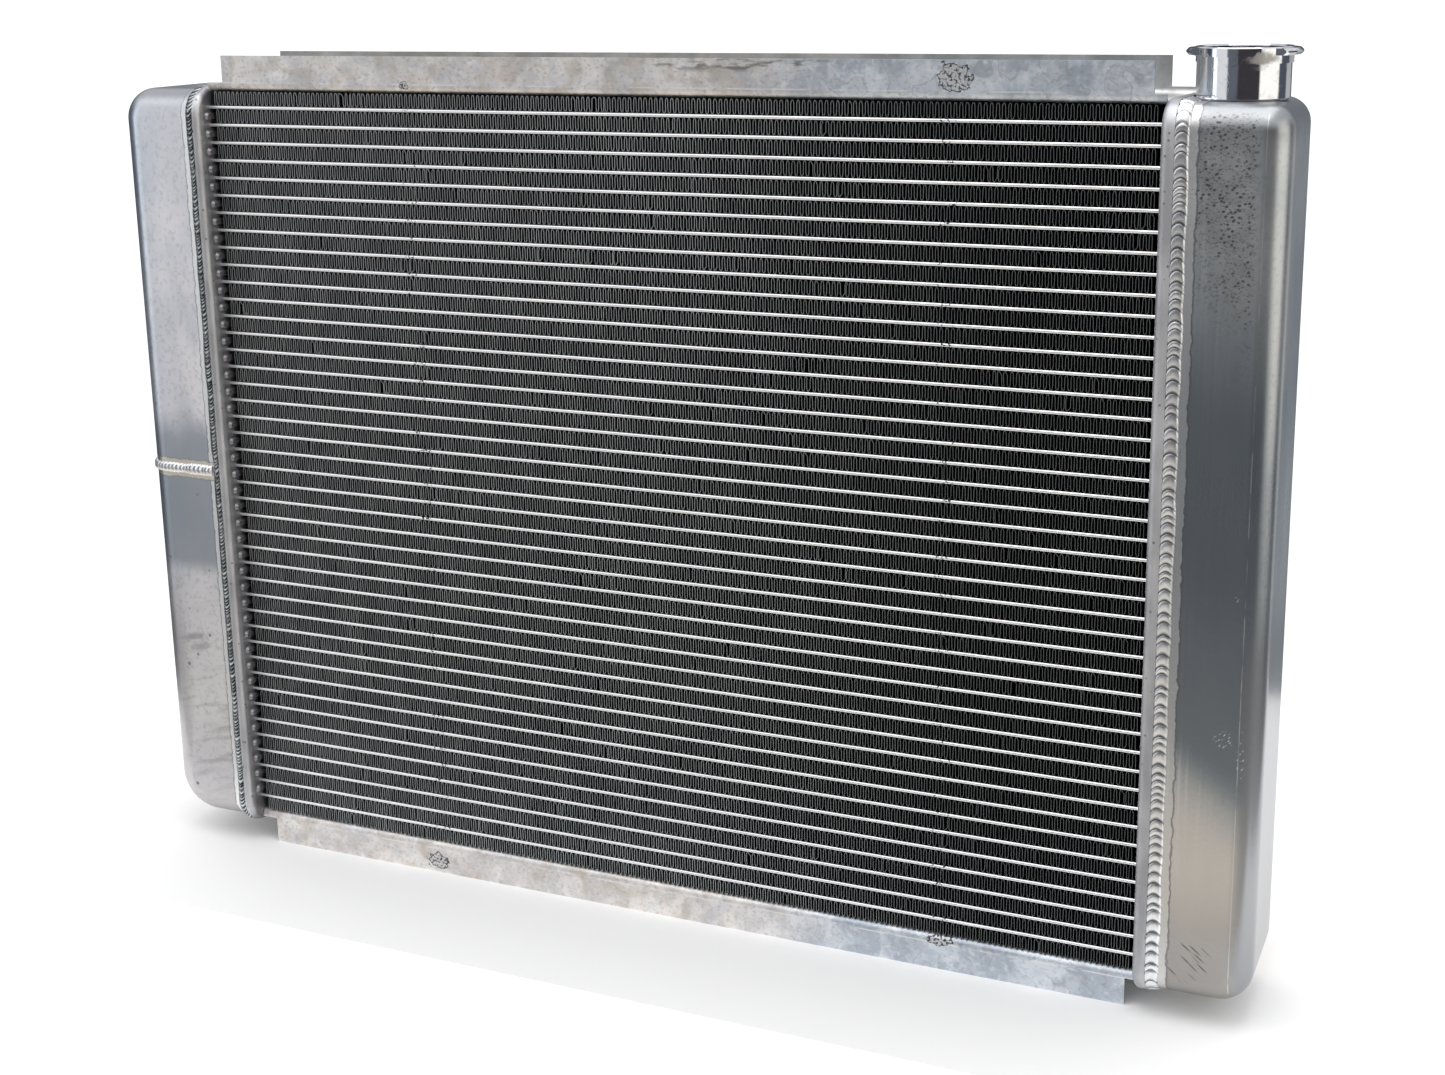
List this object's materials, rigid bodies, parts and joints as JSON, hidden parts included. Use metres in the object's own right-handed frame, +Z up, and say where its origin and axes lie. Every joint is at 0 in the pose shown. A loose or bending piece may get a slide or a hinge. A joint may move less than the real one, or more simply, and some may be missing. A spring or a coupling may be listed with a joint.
{
  "type": "car radiator",
  "caption": "Aluminium crossflow car radiator: finned tube core between welded end tanks, one divided for two passes, with side channels, open filler neck, hose necks and a drain petcock.",
  "frame": {"origin": "on the floor, below the centre of the core: midway between the free edges of the bottom side channel, in their plane", "axes": "+X along the tubes from the divided tank to the filler tank, +Y from the grille side to the engine side, where the hose necks and the drain are, +Z up"},
  "size_m": [0.6823, 0.1301, 0.4884],
  "materials": {
    "tube_aluminium": "bare drawn tube, bright noses",
    "fin_aluminium": "thin folded strip, dull grey",
    "header_aluminium": "pressed sheet, dull brazed grey",
    "left_tank_aluminium": "brushed sheet, cloudy, lightly marked",
    "right_tank_aluminium": "brushed sheet, stained and scuffed",
    "plate_aluminium": "mill finish plate",
    "channel_aluminium": "brazed sheet with grey and yellowish stains",
    "weld_aluminium": "rippled hand-laid weld bead",
    "machined_aluminium": "turned and polished",
    "neck_aluminium": "drawn tube with a rolled bead",
    "brass": "turned brass, dulled",
    "seal_rubber": "moulded black rubber"
  },
  "bodies": {
    "radiator": {"core_tubes_front_row": "tube_aluminium", "core_tubes_rear_row": "tube_aluminium", "cooling_fins": "fin_aluminium", "left_header": "header_aluminium", "right_header": "header_aluminium", "left_tank_upper": "left_tank_aluminium", "left_tank_lower": "left_tank_aluminium", "tank_divider": "plate_aluminium", "right_tank": "right_tank_aluminium", "top_side_channel": "channel_aluminium", "bottom_side_channel": "channel_aluminium", "left_header_weld": "weld_aluminium", "right_header_weld": "weld_aluminium", "divider_weld": "weld_aluminium", "filler_neck": "machined_aluminium", "filler_neck_weld": "weld_aluminium", "overflow_nipple": "machined_aluminium", "inlet_neck": "neck_aluminium", "inlet_neck_weld": "weld_aluminium", "outlet_neck": "neck_aluminium", "outlet_neck_weld": "weld_aluminium", "drain_bung": "machined_aluminium", "drain_bung_weld": "weld_aluminium", "petcock_body": "brass"},
    "drain_seal_lift": {"petcock_seal": "seal_rubber"},
    "drain_screw": {"petcock_stem": "brass"}
  },
  "joints": [
    {"name": "drain_lift", "type": "slide", "parent": "radiator", "child": "drain_seal_lift", "axis": [0, 1, 0], "range_m": [0, 0.00376]},
    {"name": "drain_turn", "type": "hinge", "parent": "drain_seal_lift", "child": "drain_screw", "pos_m": [0.3085, 0.0721, 0.0458], "axis": [0, 1, 0], "range_deg": [0, 900]}
  ],
  "couplings": [
    {"joint": "drain_lift", "follows": "drain_turn", "m_per_rad": 0.00023873}
  ]
}
